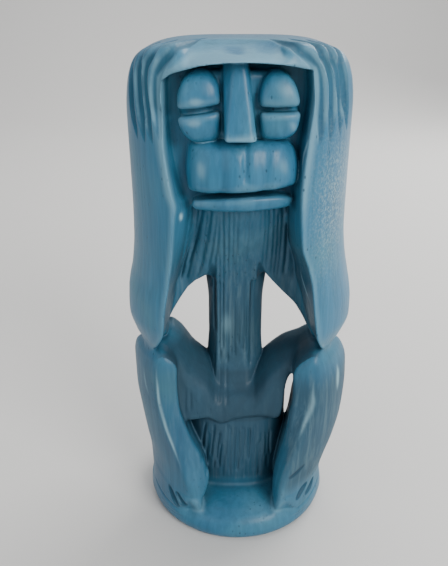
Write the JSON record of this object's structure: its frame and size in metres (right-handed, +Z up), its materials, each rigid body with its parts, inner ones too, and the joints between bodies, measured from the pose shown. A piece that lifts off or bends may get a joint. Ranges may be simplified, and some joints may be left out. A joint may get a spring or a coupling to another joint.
{
  "type": "carved tiki figure",
  "caption": "Squatting wooden figure carved from one round log, elbows on its knees and hands on the sides of its head, painted blue, on a round base.",
  "frame": {"origin": "centre of the round base's underside", "axes": "+Z up; the figure faces -Y and its own left side is +X"},
  "size_m": [0.112, 0.099, 0.24],
  "materials": {
    "painted_wood": "gloss"
  },
  "bodies": {
    "root": {"base": "painted_wood", "seat": "painted_wood", "pelvis": "painted_wood", "waist": "painted_wood", "chest": "painted_wood", "upper_back": "painted_wood", "head": "painted_wood", "crown": "painted_wood", "brow": "painted_wood", "nose": "painted_wood", "muzzle": "painted_wood", "lower_lip": "painted_wood", "left_foot": "painted_wood", "right_foot": "painted_wood", "left_toes": "painted_wood", "right_toes": "painted_wood", "left_shin": "painted_wood", "right_shin": "painted_wood", "left_thigh": "painted_wood", "right_thigh": "painted_wood", "left_forearm": "painted_wood", "right_forearm": "painted_wood", "left_upper_arm": "painted_wood", "right_upper_arm": "painted_wood", "left_hand": "painted_wood", "right_hand": "painted_wood", "left_digits": "painted_wood", "right_digits": "painted_wood", "left_upper_eyelid": "painted_wood", "right_upper_eyelid": "painted_wood", "left_lower_eyelid": "painted_wood", "right_lower_eyelid": "painted_wood"}
  },
  "joints": []
}
